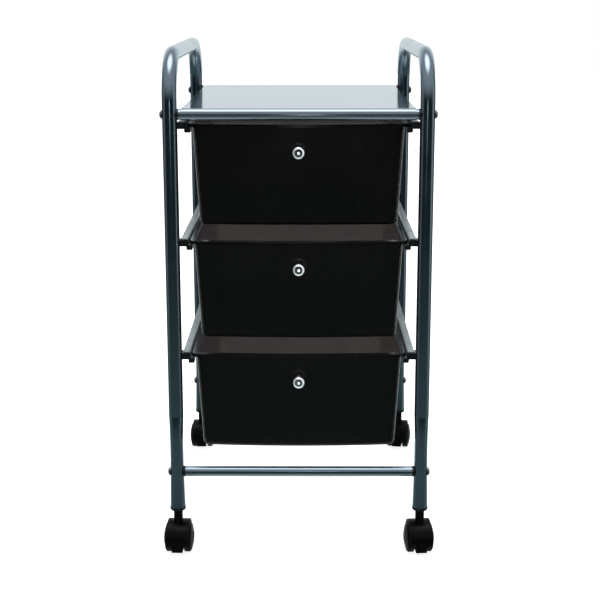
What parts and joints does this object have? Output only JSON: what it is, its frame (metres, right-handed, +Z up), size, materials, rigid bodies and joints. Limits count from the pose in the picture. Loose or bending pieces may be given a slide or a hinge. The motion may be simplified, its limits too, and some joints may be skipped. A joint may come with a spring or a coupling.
{
  "type": "rolling drawer cart",
  "caption": "Rolling storage cart with a bent steel tube frame, a flat sheet steel top, open plastic drawers on steel runners and swivel casters.",
  "frame": {"origin": "on the floor, under the middle of the cart's outline", "axes": "+Z up, -Y out of the drawers' fronts, +X to the right of someone who faces the drawers"},
  "size_m": [0.3518, 0.4198, 0.6484],
  "materials": {
    "frame_paint": "satin metallic",
    "tray_paint": "satin metallic",
    "runner_steel": "satin zinc",
    "fastener_steel": "zinc plated",
    "knob_chrome": "polished",
    "drawer_plastic": "glossy moulded",
    "caster_plastic": "moulded",
    "black_plastic": "moulded"
  },
  "bodies": {
    "frame": {"left_side_frame": "frame_paint", "right_side_frame": "frame_paint", "front_top_bar": "frame_paint", "rear_top_bar": "frame_paint", "front_lower_bar": "frame_paint", "rear_lower_bar": "frame_paint", "top_tray": "tray_paint", "frame_bolts": "fastener_steel", "bar_inserts": "fastener_steel", "saddle_washers": "black_plastic", "bottom_left_runner": "runner_steel", "bottom_left_runner_clips": "black_plastic", "bottom_right_runner": "runner_steel", "bottom_right_runner_clips": "black_plastic", "middle_left_runner": "runner_steel", "middle_left_runner_clips": "black_plastic", "middle_right_runner": "runner_steel", "middle_right_runner_clips": "black_plastic", "top_left_runner": "runner_steel", "top_left_runner_clips": "black_plastic", "top_right_runner": "runner_steel", "top_right_runner_clips": "black_plastic", "front_left_caster_socket": "black_plastic", "front_right_caster_socket": "black_plastic", "rear_left_caster_socket": "black_plastic", "rear_right_caster_socket": "black_plastic"},
    "bottom_drawer": {"bottom_drawer": "drawer_plastic", "bottom_drawer_knob": "knob_chrome", "bottom_drawer_knob_screw": "fastener_steel"},
    "middle_drawer": {"middle_drawer": "drawer_plastic", "middle_drawer_knob": "knob_chrome", "middle_drawer_knob_screw": "fastener_steel"},
    "top_drawer": {"top_drawer": "drawer_plastic", "top_drawer_knob": "knob_chrome", "top_drawer_knob_screw": "fastener_steel"},
    "front_left_caster": {"front_left_caster_stem": "fastener_steel", "front_left_caster_hood": "caster_plastic", "front_left_caster_axle": "fastener_steel"},
    "front_left_caster_left_wheel": {"front_left_caster_left_wheel": "caster_plastic"},
    "front_left_caster_right_wheel": {"front_left_caster_right_wheel": "caster_plastic"},
    "front_right_caster": {"front_right_caster_stem": "fastener_steel", "front_right_caster_hood": "caster_plastic", "front_right_caster_axle": "fastener_steel"},
    "front_right_caster_left_wheel": {"front_right_caster_left_wheel": "caster_plastic"},
    "front_right_caster_right_wheel": {"front_right_caster_right_wheel": "caster_plastic"},
    "rear_left_caster": {"rear_left_caster_stem": "fastener_steel", "rear_left_caster_hood": "caster_plastic", "rear_left_caster_axle": "fastener_steel"},
    "rear_left_caster_left_wheel": {"rear_left_caster_left_wheel": "caster_plastic"},
    "rear_left_caster_right_wheel": {"rear_left_caster_right_wheel": "caster_plastic"},
    "rear_right_caster": {"rear_right_caster_stem": "fastener_steel", "rear_right_caster_hood": "caster_plastic", "rear_right_caster_axle": "fastener_steel"},
    "rear_right_caster_left_wheel": {"rear_right_caster_left_wheel": "caster_plastic"},
    "rear_right_caster_right_wheel": {"rear_right_caster_right_wheel": "caster_plastic"}
  },
  "joints": [
    {"name": "bottom_drawer_slide", "type": "slide", "parent": "frame", "child": "bottom_drawer", "axis": [0, -1, 0], "range_m": [0, 0.25]},
    {"name": "middle_drawer_slide", "type": "slide", "parent": "frame", "child": "middle_drawer", "axis": [0, -1, 0], "range_m": [0, 0.25]},
    {"name": "top_drawer_slide", "type": "slide", "parent": "frame", "child": "top_drawer", "axis": [0, -1, 0], "range_m": [0, 0.25]},
    {"name": "front_left_caster_swivel", "type": "hinge", "parent": "frame", "child": "front_left_caster", "pos_m": [-0.156, -0.188, 0.06], "axis": [0, 0, 1], "continuous": true},
    {"name": "front_left_caster_left_wheel_roll", "type": "hinge", "parent": "front_left_caster", "child": "front_left_caster_left_wheel", "pos_m": [-0.15586, -0.184, 0.019], "axis": [0.9994, -0.0349, 0], "continuous": true},
    {"name": "front_left_caster_right_wheel_roll", "type": "hinge", "parent": "front_left_caster", "child": "front_left_caster_right_wheel", "pos_m": [-0.15586, -0.184, 0.019], "axis": [0.9994, -0.0349, 0], "continuous": true},
    {"name": "front_right_caster_swivel", "type": "hinge", "parent": "frame", "child": "front_right_caster", "pos_m": [0.156, -0.188, 0.06], "axis": [0, 0, 1], "continuous": true},
    {"name": "front_right_caster_left_wheel_roll", "type": "hinge", "parent": "front_right_caster", "child": "front_right_caster_left_wheel", "pos_m": [0.15565, -0.18402, 0.019], "axis": [0.9962, 0.0872, 0], "continuous": true},
    {"name": "front_right_caster_right_wheel_roll", "type": "hinge", "parent": "front_right_caster", "child": "front_right_caster_right_wheel", "pos_m": [0.15565, -0.18402, 0.019], "axis": [0.9962, 0.0872, 0], "continuous": true},
    {"name": "rear_left_caster_swivel", "type": "hinge", "parent": "frame", "child": "rear_left_caster", "pos_m": [-0.156, 0.184, 0.06], "axis": [0, 0, 1], "continuous": true},
    {"name": "rear_left_caster_left_wheel_roll", "type": "hinge", "parent": "rear_left_caster", "child": "rear_left_caster_left_wheel", "pos_m": [-0.156, 0.188, 0.019], "axis": [1, 0, 0], "continuous": true},
    {"name": "rear_left_caster_right_wheel_roll", "type": "hinge", "parent": "rear_left_caster", "child": "rear_left_caster_right_wheel", "pos_m": [-0.156, 0.188, 0.019], "axis": [1, 0, 0], "continuous": true},
    {"name": "rear_right_caster_swivel", "type": "hinge", "parent": "frame", "child": "rear_right_caster", "pos_m": [0.156, 0.184, 0.06], "axis": [0, 0, 1], "continuous": true},
    {"name": "rear_right_caster_left_wheel_roll", "type": "hinge", "parent": "rear_right_caster", "child": "rear_right_caster_left_wheel", "pos_m": [0.15669, 0.18794, 0.019], "axis": [0.9848, -0.1736, 0], "continuous": true},
    {"name": "rear_right_caster_right_wheel_roll", "type": "hinge", "parent": "rear_right_caster", "child": "rear_right_caster_right_wheel", "pos_m": [0.15669, 0.18794, 0.019], "axis": [0.9848, -0.1736, 0], "continuous": true}
  ]
}
